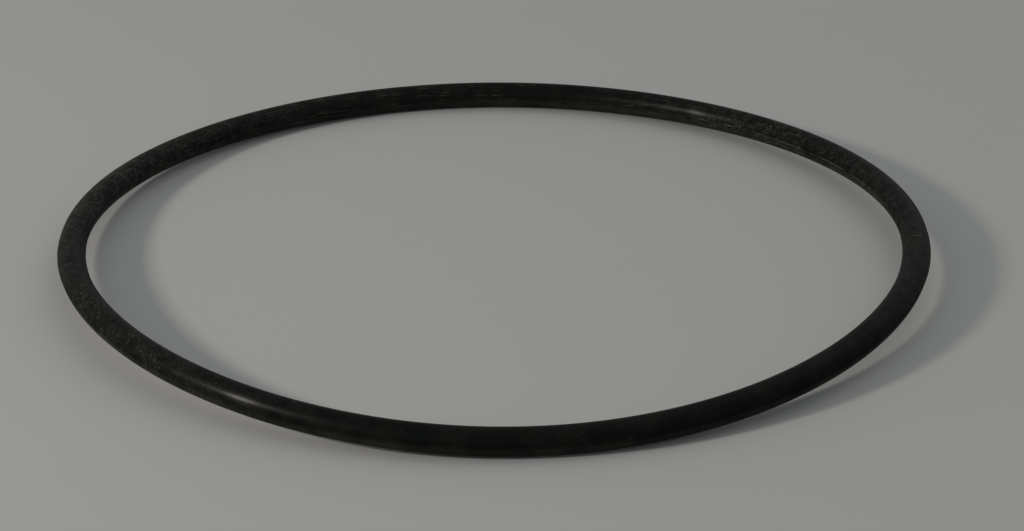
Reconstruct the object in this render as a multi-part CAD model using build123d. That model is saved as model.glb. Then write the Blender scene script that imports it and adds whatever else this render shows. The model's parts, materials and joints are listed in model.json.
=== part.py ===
from build123d import *
import os
from math import cos, pi, sin

# A moulded rubber O-ring, lying free on a flat surface. Millimetres, +Z up.
# The origin is on the surface, under the middle of the ring.

# The hole and the round section, as the ring is sold
inner_diameter = 90.0
section_diameter = 3.0

# The mould closes at the section's mid-height. It leaves a thin rib there, inside and outside,
# and the maker trims the rib to a true circle
rib_height = 0.16
rib_reach = 0.05

# The ring has kept a slight twist from its packing. It rests on its +Y and -Y ends, its two
# sides stand off the surface by the lift, and the lean moves that much of the lift towards -Y
side_lift = 1.66
lift_lean = 0.72

# How many places round the ring its curve passes through exactly
stations = 36

section_radius = section_diameter / 2
centre_radius = inner_diameter / 2 + section_radius
inner_land_radius = centre_radius - section_radius - rib_reach
outer_land_radius = centre_radius + section_radius + rib_reach

# The untrimmed rib runs this far past its lands, so that the trimming meets no edge
rib_overrun = section_radius / 3


def height(angle):
    """How high the section's centre is. It repeats every turn, with no step or corner."""
    return section_radius + side_lift * cos(angle) ** 2 * (1 - lift_lean * sin(angle))


def half_body(start_angle):
    """The round section carried half-way round the ring, upright at every station."""
    sections = []
    for i in range(stations // 2 + 1):
        angle = start_angle + 2 * pi * i / stations
        centre = (centre_radius * cos(angle), centre_radius * sin(angle), height(angle))
        upright = Plane(origin=centre, x_dir=(cos(angle), sin(angle), 0), z_dir=(-sin(angle), cos(angle), 0))
        sections.append(upright * Circle(section_radius))
    return loft(sections)


def rib_edge(radius):
    """A circle from above that follows the underside of the rib."""
    angles = [2 * pi * i / stations for i in range(stations)]
    points = [(radius * cos(a), radius * sin(a), height(a) - rib_height / 2) for a in angles]
    return Spline(points, periodic=True)


def rib():
    """The rib as one thin washer that follows the ring, trimmed to its two true circles."""
    underside = Face.make_surface_from_curves(
        rib_edge(inner_land_radius - rib_overrun), rib_edge(outer_land_radius + rib_overrun)
    )
    untrimmed = extrude(underside, amount=rib_height, dir=(0, 0, 1))
    tall = section_diameter + side_lift * (1 + lift_lean)
    on_surface = (Align.CENTER, Align.CENTER, Align.MIN)
    outer_circle = Cylinder(outer_land_radius, tall, align=on_surface)
    inner_circle = Cylinder(inner_land_radius, tall, align=on_surface)
    return untrimmed & (outer_circle - inner_circle)


def o_ring():
    return half_body(-pi / 2) + half_body(pi / 2) + rib()


os.makedirs("parts", exist_ok=True)
export_step(o_ring(), "parts/o_ring.step")
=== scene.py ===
import json
from math import atan2, cos, pi, radians, sin
import bmesh
import bpy
from mathutils import Matrix, Vector


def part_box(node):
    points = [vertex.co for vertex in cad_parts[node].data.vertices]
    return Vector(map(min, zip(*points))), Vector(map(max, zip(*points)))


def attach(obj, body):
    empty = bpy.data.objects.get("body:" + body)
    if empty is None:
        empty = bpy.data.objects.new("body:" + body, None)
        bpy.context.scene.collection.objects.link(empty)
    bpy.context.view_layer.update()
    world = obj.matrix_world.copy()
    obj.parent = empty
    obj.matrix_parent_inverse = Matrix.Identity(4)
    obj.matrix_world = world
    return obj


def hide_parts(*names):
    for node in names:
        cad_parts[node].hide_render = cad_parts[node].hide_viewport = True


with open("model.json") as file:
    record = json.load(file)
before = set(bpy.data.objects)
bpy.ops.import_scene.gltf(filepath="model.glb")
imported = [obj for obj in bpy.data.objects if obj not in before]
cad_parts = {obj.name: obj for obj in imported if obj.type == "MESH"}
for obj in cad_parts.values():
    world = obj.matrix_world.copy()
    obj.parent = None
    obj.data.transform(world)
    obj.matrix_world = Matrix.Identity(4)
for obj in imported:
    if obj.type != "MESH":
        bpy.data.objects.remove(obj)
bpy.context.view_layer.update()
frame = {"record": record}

# ---- The ring ----
# One moulding of black nitrile rubber with a round section. The two halves of the mould met at
# the section's middle, and trimming the flash there left a fine raised rib inside and outside.
# The free ring isn't quite flat: it touches the table at its near and far sides.

MM = 0.001
low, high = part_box("o_ring")
land_radius = {mount["name"]: mount["dims"]["r_mm"] * MM for mount in frame["record"]["mounts"]}
rib_reach = 0.05 * MM
section_radius = (land_radius["outer_land"] - land_radius["inner_land"]) / 2 - rib_reach
ring_radius = (land_radius["outer_land"] + land_radius["inner_land"]) / 2
section_sides = 58
ring_steps = 720
merge_distance = 0.001 * MM
sharp_corner = radians(40)
lift_lean = 0.72


def lift_share(angle):
    """How far the ring's middle line stands off the table, as a share of its side lift."""
    return cos(angle) ** 2 * (1 - lift_lean * sin(angle))


highest_share = max(lift_share(radians(degree)) for degree in range(360))
side_lift = (high.z - low.z - 2 * section_radius) / highest_share


def make_ring():
    bm = bmesh.new()
    bmesh.ops.create_circle(bm, segments=section_sides, radius=section_radius)
    bmesh.ops.rotate(bm, verts=bm.verts, matrix=Matrix.Rotation(pi / 2, 3, "X"))
    bmesh.ops.translate(bm, verts=bm.verts, vec=(ring_radius, 0, 0))
    bmesh.ops.spin(
        bm, geom=bm.edges[:], axis=(0, 0, 1), cent=(0, 0, 0), angle=2 * pi, steps=ring_steps, use_merge=True
    )
    bmesh.ops.remove_doubles(bm, verts=bm.verts, dist=merge_distance)
    bmesh.ops.recalc_face_normals(bm, faces=bm.faces)

    # The rib: the band of faces that looks straight in or straight out stands proud
    band_facing = cos(pi / section_sides / 2)
    for side in (-1, 1):
        band = []
        for face in bm.faces:
            outward = face.calc_center_median().xy.normalized()
            if side * face.normal.xy.dot(outward) > band_facing:
                band.append(face)
        raised = bmesh.ops.extrude_face_region(bm, geom=band)["geom"]
        bmesh.ops.delete(bm, geom=band, context="FACES_ONLY")
        for vert in (part for part in raised if isinstance(part, bmesh.types.BMVert)):
            vert.co += vert.co.xy.normalized().to_3d() * side * rib_reach

    # Each point keeps its place in the section for the material: its reach from the section's
    # middle and its height above it, in mm. Then the ring takes its resting shape
    section_place = bm.verts.layers.float_vector.new("section_place")
    for vert in bm.verts:
        vert[section_place] = Vector((vert.co.xy.length - ring_radius, vert.co.z, 0)) / MM
        vert.co.z += low.z + section_radius + side_lift * lift_share(atan2(vert.co.y, vert.co.x))
    mesh = bpy.data.meshes.new("rubber_ring")
    bm.to_mesh(mesh)
    bm.free()
    mesh.shade_smooth()
    mesh.set_sharp_from_angle(angle=sharp_corner)
    ring = bpy.data.objects.new("rubber_ring", mesh)
    bpy.context.scene.collection.objects.link(ring)
    return ring


ring = make_ring()
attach(ring, "root")
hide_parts("o_ring")


def linear(hex_colour):
    """A linear colour from an sRGB hex value."""
    channels = [int(hex_colour[start:start + 2], 16) / 255 for start in (1, 3, 5)]
    return [c / 12.92 if c <= 0.04045 else ((c + 0.055) / 1.055) ** 2.4 for c in channels] + [1]


def node(tree, kind, inputs=None, **settings):
    """Adds a node with its settings. Each of its inputs is given a value, or linked to a socket."""
    new = tree.nodes.new(kind)
    for name, value in settings.items():
        setattr(new, name, value)
    for name, value in (inputs or {}).items():
        if isinstance(value, bpy.types.NodeSocket):
            tree.links.new(value, new.inputs[name])
        else:
            new.inputs[name].default_value = value
    return new


def way(angle):
    """The level direction at an angle in degrees from +X."""
    return (cos(radians(angle)), sin(radians(angle)), 0)


def on_arc(tree, outward, middle, ends, full, least=0.0, most=1.0):
    """Most within full degrees of the middle of an arc of the ring, fading to least at its ends."""
    nearness = node(tree, "ShaderNodeVectorMath", {0: outward, 1: way(middle)}, operation="DOT_PRODUCT")
    return node(
        tree, "ShaderNodeMapRange",
        {"Value": nearness.outputs["Value"], "From Min": cos(radians(ends)), "From Max": cos(radians(full)),
         "To Min": least, "To Max": most},
        interpolation_type="SMOOTHSTEP",
    ).outputs["Result"]


def rub_marks(tree, flat, reach, height):
    """Noise for rub marks, which run round the ring, 2.2 mm long and 0.14 mm wide. So it is
    stretched: its X and Y follow the ring, and its Z and W cross the section."""
    mark_width, mark_length = 0.14, 2.2
    along = node(
        tree, "ShaderNodeVectorMath", {0: flat, "Scale": mark_width / mark_length}, operation="SCALE"
    ).outputs[0]
    across = node(tree, "ShaderNodeCombineXYZ", {"Z": reach}).outputs[0]
    place = node(tree, "ShaderNodeVectorMath", {0: along, 1: across}, operation="ADD").outputs[0]
    return node(
        tree, "ShaderNodeTexNoise",
        {"Vector": place, "W": height, "Scale": 1 / mark_width, "Detail": 3.0, "Roughness": 0.65},
        noise_dimensions="4D",
    ).outputs["Fac"]


def bloom_patterns(tree, in_mm):
    """The smears of 3 mm, blotches of 1.1 mm and grains of 0.25 mm that the bloom lies in. The
    last two values of each are where its noise turns from none of it to all of it."""
    patterns = []
    for size, roughness, none, full in (
        (3.0, 0.6, 0.40, 0.62),
        (1.1, 0.75, 0.40, 0.62),
        (0.25, 0.8, 0.44, 0.66),
    ):
        noise = node(
            tree, "ShaderNodeTexNoise",
            {"Vector": in_mm, "Scale": 1 / size, "Detail": 3.0, "Roughness": roughness},
        ).outputs["Fac"]
        pattern = node(
            tree, "ShaderNodeMapRange", {"Value": noise, "From Min": none, "From Max": full},
            interpolation_type="SMOOTHSTEP",
        )
        patterns.append(pattern.outputs["Result"])
    return patterns


def bloom_haze(tree, outward, smears, blotches, grains, marks):
    """How thick the bloom and dust lie: faint grainy smears all round, and more on five arcs."""
    grain_share, smear_film = 0.035, 0.004
    smudges = node(
        tree, "ShaderNodeMath", {0: grains, 1: grain_share, 2: smear_film}, operation="MULTIPLY_ADD"
    ).outputs[0]
    haze = node(tree, "ShaderNodeMath", {0: smears, 1: smudges}, operation="MULTIPLY").outputs[0]

    # Each arc has its middle and half width in degrees from +X, what lies on it, the share of it
    # outside the blotches, its strength, and the even film under it
    for middle, half_width, pattern, outside_blotches, strength, film in (
        (182, 55, grains, 0.2, 0.17, 0.009),
        (122, 56, marks, 0.15, 0.22, 0.004),
        (146, 40, grains, 0.1, 0.12, 0.002),
        (47, 24, marks, 0.2, 0.2, 0.0),
        (10, 54, grains, 0.08, 0.19, 0.0),
    ):
        arc = on_arc(tree, outward, middle, half_width, half_width / 2)
        patchy = node(
            tree, "ShaderNodeMath", {0: blotches, 1: 1 - outside_blotches, 2: outside_blotches},
            operation="MULTIPLY_ADD",
        ).outputs[0]
        here = node(tree, "ShaderNodeMath", {0: arc, 1: patchy}, operation="MULTIPLY").outputs[0]
        thickness = node(
            tree, "ShaderNodeMath", {0: pattern, 1: strength, 2: film}, operation="MULTIPLY_ADD"
        ).outputs[0]
        haze = node(
            tree, "ShaderNodeMath", {0: here, 1: thickness, 2: haze}, operation="MULTIPLY_ADD", use_clamp=True
        ).outputs[0]
    return haze


def painted_floor_reflection(tree, height, smears):
    """A painted reflection of the table: a pale brownish tint that stands in for light bounced up off
    the table, mixed into the colour of the lower half. It starts and is full at these heights, in mm, above
    the section's middle."""
    starts_at, full_at, strongest_reflection = 0.3, -0.7, 0.09
    smear_share, even_share = 0.5, 0.6
    underside = node(
        tree, "ShaderNodeMapRange",
        {"Value": height, "From Min": starts_at, "From Max": full_at, "To Max": strongest_reflection},
        interpolation_type="SMOOTHSTEP",
    ).outputs["Result"]
    smeared = node(
        tree, "ShaderNodeMath", {0: smears, 1: smear_share, 2: even_share}, operation="MULTIPLY_ADD"
    ).outputs[0]
    return node(tree, "ShaderNodeMath", {0: underside, 1: smeared}, operation="MULTIPLY").outputs[0]


def grit_specks(tree, in_mm):
    """Lint and grit: a speck up to 0.2 mm across in a few cells of 1.3 mm. The radii of a speck's
    edge and core are shares of a cell, and a cell's random red sets how strong its speck is."""
    cell_size = 1.3
    speck_edge, speck_core = 0.08, 0.05
    red_of_faintest, red_of_strongest, strongest = 0.7, 0.95, 0.5
    cells = node(tree, "ShaderNodeTexVoronoi", {"Vector": in_mm, "Scale": 1 / cell_size})
    cell_colour = node(tree, "ShaderNodeSeparateColor", {"Color": cells.outputs["Color"]})
    strength = node(
        tree, "ShaderNodeMapRange",
        {"Value": cell_colour.outputs[0], "From Min": red_of_faintest, "From Max": red_of_strongest,
         "To Max": strongest},
    ).outputs["Result"]
    speck = node(
        tree, "ShaderNodeMapRange",
        {"Value": cells.outputs["Distance"], "From Min": speck_edge, "From Max": speck_core},
    ).outputs["Result"]
    return node(tree, "ShaderNodeMath", {0: speck, 1: strength}, operation="MULTIPLY").outputs[0]


def scuffed_rib(tree, outward, reach, height, mark_noise):
    """The scuffed top edge of the inner rib: a pale line under 0.1 mm wide, in dashes of a few mm
    that are plainest on the arc where it was handled."""
    line_height, half_line, inner_face = 0.05, 0.045, -1.3
    dash_starts, dash_full = 0.44, 0.62
    at_edge = node(
        tree, "ShaderNodeMath", {0: height, 1: line_height, 2: half_line}, operation="COMPARE"
    ).outputs[0]
    inside = node(tree, "ShaderNodeMath", {0: reach, 1: inner_face}, operation="LESS_THAN").outputs[0]
    edge = node(tree, "ShaderNodeMath", {0: at_edge, 1: inside}, operation="MULTIPLY").outputs[0]
    dashes = node(
        tree, "ShaderNodeMapRange", {"Value": mark_noise, "From Min": dash_starts, "From Max": dash_full}
    ).outputs["Result"]
    handled = on_arc(tree, outward, middle=27, ends=28, full=12, least=0.07, most=0.6)
    scuff = node(tree, "ShaderNodeMath", {0: dashes, 1: handled}, operation="MULTIPLY").outputs[0]
    return node(tree, "ShaderNodeMath", {0: edge, 1: scuff}, operation="MULTIPLY").outputs[0]


def hooked_scratch(tree, in_mm):
    """One hooked scratch on top near +X: the near half of a hoop, 0.7 mm across."""
    angle, hoop_radius, half_line = radians(-11.8), 0.35, 0.05
    middle = Matrix.Rotation(angle, 3, "Z") @ Vector((ring_radius, 0, 0)) / MM
    middle.z = (2 * section_radius + side_lift * lift_share(angle)) / MM
    from_middle = node(tree, "ShaderNodeVectorMath", {0: in_mm, 1: middle}, operation="DISTANCE")
    hoop = node(
        tree, "ShaderNodeMath", {0: from_middle.outputs["Value"], 1: hoop_radius, 2: half_line},
        operation="COMPARE",
    ).outputs[0]
    split = node(tree, "ShaderNodeSeparateXYZ", {0: in_mm})
    near_half = node(
        tree, "ShaderNodeMath", {0: split.outputs["Y"], 1: middle.y}, operation="LESS_THAN"
    ).outputs[0]
    return node(tree, "ShaderNodeMath", {0: hoop, 1: near_half}, operation="MULTIPLY").outputs[0]


def handled_gloss(tree, outward, section, haze):
    """The gloss, which haze dulls a little. Handling has polished two short spots, one on the
    outer flank and one on the inner, each centred 29 degrees up the section."""
    thin_haze, thick_haze = 0.02, 0.2
    clean_gloss, hazed_gloss = 0.085, 0.06
    spot_rise, spot_edge = radians(29), 0.8
    gloss = node(
        tree, "ShaderNodeMapRange",
        {"Value": haze, "From Min": thin_haze, "From Max": thick_haze,
         "To Min": clean_gloss, "To Max": hazed_gloss},
    ).outputs["Result"]

    # Each spot has its middle in degrees from +X, its half length in mm, its flank and its shine
    for middle, half_length, flank, shine in ((230.9, 2.8, 1, 0.18), (50.0, 2.0, -1, 0.15)):
        flank_way = (flank * cos(spot_rise), sin(spot_rise), 0)
        up_flank = node(tree, "ShaderNodeVectorMath", {0: section, 1: flank_way}, operation="DOT_PRODUCT")
        on_flank = node(
            tree, "ShaderNodeMapRange",
            {"Value": up_flank.outputs["Value"],
             "From Min": spot_edge * section_radius / MM, "From Max": section_radius / MM},
            interpolation_type="SMOOTHSTEP",
        ).outputs["Result"]
        off_middle = node(tree, "ShaderNodeVectorMath", {0: outward, 1: way(middle)}, operation="DISTANCE")
        polished = node(
            tree, "ShaderNodeMapRange",
            {"Value": off_middle.outputs["Value"],
             "From Min": half_length * MM / ring_radius, "From Max": 0.0, "To Max": shine},
            interpolation_type="SMOOTHSTEP",
        ).outputs["Result"]
        gloss = node(
            tree, "ShaderNodeMath", {0: on_flank, 1: polished, 2: gloss}, operation="MULTIPLY_ADD"
        ).outputs[0]
    return gloss


def moulded_nitrile_rubber():
    """Black nitrile rubber as it leaves a steel mould: a deep, faintly green black with a soft
    gloss. Its wax has bloomed to a thin grey haze where it was handled, and dust and rub marks
    show in the haze. The trimmed rib is scuffed to a broken pale line."""
    material = bpy.data.materials.new("moulded_nitrile_rubber")
    material.use_nodes = True
    tree = material.node_tree
    tree.nodes.clear()

    # Places in mm: in the object, round the ring, and in the section
    object_place = node(tree, "ShaderNodeTexCoord").outputs["Object"]
    in_mm = node(
        tree, "ShaderNodeVectorMath", {0: object_place, "Scale": 1 / MM}, operation="SCALE"
    ).outputs[0]
    flat = node(tree, "ShaderNodeVectorMath", {0: in_mm, 1: (1, 1, 0)}, operation="MULTIPLY").outputs[0]
    outward = node(tree, "ShaderNodeVectorMath", {0: flat}, operation="NORMALIZE").outputs[0]
    section = node(tree, "ShaderNodeAttribute", attribute_name="section_place").outputs["Vector"]
    split = node(tree, "ShaderNodeSeparateXYZ", {0: section})
    reach, height = split.outputs["X"], split.outputs["Y"]

    # Rub marks show where their noise is high
    mark_starts, mark_full = 0.52, 0.68
    mark_noise = rub_marks(tree, flat, reach, height)
    marks = node(
        tree, "ShaderNodeMapRange", {"Value": mark_noise, "From Min": mark_starts, "From Max": mark_full},
        interpolation_type="SMOOTHSTEP",
    ).outputs["Result"]
    smears, blotches, grains = bloom_patterns(tree, in_mm)
    haze = bloom_haze(tree, outward, smears, blotches, grains, marks)

    # The clean rubber and the layers over it, from the lowest up: first a painted reflection of the
    # table on the lower half, then what lies on the rubber. The two colours of a Mix node are its inputs 6
    # and 7
    colour = node(
        tree, "ShaderNodeMix", {0: smears, 6: linear("#070A08"), 7: linear("#0A0B09")}, data_type="RGBA"
    ).outputs[2]
    for amount, over in (
        # Painted reflection: a pale brownish tint on the lower half, standing in for light bounced off the
        # table
        (painted_floor_reflection(tree, height, smears), "#6E6860"),
        (haze, "#646861"),
        (grit_specks(tree, in_mm), "#6E706A"),
        (scuffed_rib(tree, outward, reach, height, mark_noise), "#62635F"),
        (hooked_scratch(tree, in_mm), "#4A4C47"),
    ):
        colour = node(
            tree, "ShaderNodeMix", {0: amount, 6: colour, 7: linear(over)}, data_type="RGBA"
        ).outputs[2]

    # Rub marks stand a few thousandths of a mm high, and grains half as high
    mark_relief, grain_share = 0.008, 0.5
    relief = node(
        tree, "ShaderNodeMath", {0: grains, 1: grain_share, 2: marks}, operation="MULTIPLY_ADD"
    ).outputs[0]
    bump = node(tree, "ShaderNodeBump", {"Height": relief, "Strength": 0.25, "Distance": mark_relief * MM})
    shader = node(
        tree, "ShaderNodeBsdfPrincipled",
        {"Base Color": colour, "Roughness": 0.6, "IOR": 1.5, "Specular IOR Level": 0.008,
         "Coat Weight": handled_gloss(tree, outward, section, haze), "Coat Roughness": 0.36,
         "Sheen Weight": 0.03, "Sheen Roughness": 0.3, "Normal": bump.outputs["Normal"]},
    )
    node(tree, "ShaderNodeOutputMaterial", {"Surface": shader.outputs["BSDF"]})
    return material


ring.data.materials.append(moulded_nitrile_rubber())

# ---- The table ----
# A plain pale grey laminate, matt and a little cool. It only carries the ring and its shadow, so
# it is one flat sheet that runs far past the view.

table_reach = 60 * ring_radius


def make_table():
    bm = bmesh.new()
    bmesh.ops.create_grid(bm, x_segments=1, y_segments=1, size=table_reach)
    mesh = bpy.data.meshes.new("table")
    bm.to_mesh(mesh)
    bm.free()
    material = bpy.data.materials.new("matt_grey_laminate")
    material.use_nodes = True
    tree = material.node_tree
    tree.nodes.clear()
    shader = node(tree, "ShaderNodeBsdfPrincipled", {"Base Color": linear("#949595"), "Roughness": 0.7})
    node(tree, "ShaderNodeOutputMaterial", {"Surface": shader.outputs["BSDF"]})
    mesh.materials.append(material)
    table = bpy.data.objects.new("table", mesh)
    bpy.context.scene.collection.objects.link(table)


make_table()

# ---- The light ----
# A pale room lights the ring evenly, one lamp low on the left gives the two highlights and the
# soft shadows, and a large panel high at the back fills in.

view_turn = radians(-7.4)
facing = Matrix.Rotation(view_turn, 3, "Z")


def area_light(name, place, size, share, colour):
    """A round lamp that faces the ring's middle. Its place is to the camera's right, away and up,
    in ring radii. Share is its light on the table, where 1 in all would show white as white."""
    place = facing @ Vector(place) * ring_radius
    lamp = bpy.data.lights.new(name, "AREA")
    lamp.shape = "DISK"
    lamp.size = size * ring_radius
    lamp.color = linear(colour)[:3]
    slant = place.z / place.length
    lamp.energy = share * pi * pi * place.length_squared / slant
    holder = bpy.data.objects.new(name, lamp)
    holder.location = place
    holder.rotation_euler = place.to_track_quat("Z", "Y").to_euler()
    bpy.context.scene.collection.objects.link(holder)


area_light("key_lamp", (-9.4, -4.7, 5.2), 1.5, 0.31, "#FFF3EE")
area_light("soft_panel", (12.0, 9.0, 18.0), 20.0, 0.08, "#FFF0EC")

world = bpy.data.worlds.new("room")
bpy.context.scene.world = world
world.use_nodes = True
world.node_tree.nodes["Background"].inputs["Color"].default_value = linear("#F2F8F4")
world.node_tree.nodes["Background"].inputs["Strength"].default_value = 0.56

# ---- The camera ----
# It looks down on the ring at a shallow angle, from eight ring radii away, and is aimed a little
# to the right of the ring's middle and nearer.

camera_distance = 8 * ring_radius
camera_tilt = radians(24.45)
target = facing @ Vector((0.0423, -0.0266, 0)) * ring_radius
towards_camera = facing @ Vector((0, -cos(camera_tilt), sin(camera_tilt)))
lens = bpy.data.cameras.new("camera")
lens.sensor_width = 36
lens.lens = 118
camera = bpy.data.objects.new("camera", lens)
camera.location = target + towards_camera * camera_distance
camera.rotation_euler = towards_camera.to_track_quat("Z", "Y").to_euler()
bpy.context.scene.collection.objects.link(camera)
bpy.context.scene.camera = camera
bpy.context.scene.view_settings.view_transform = "Standard"
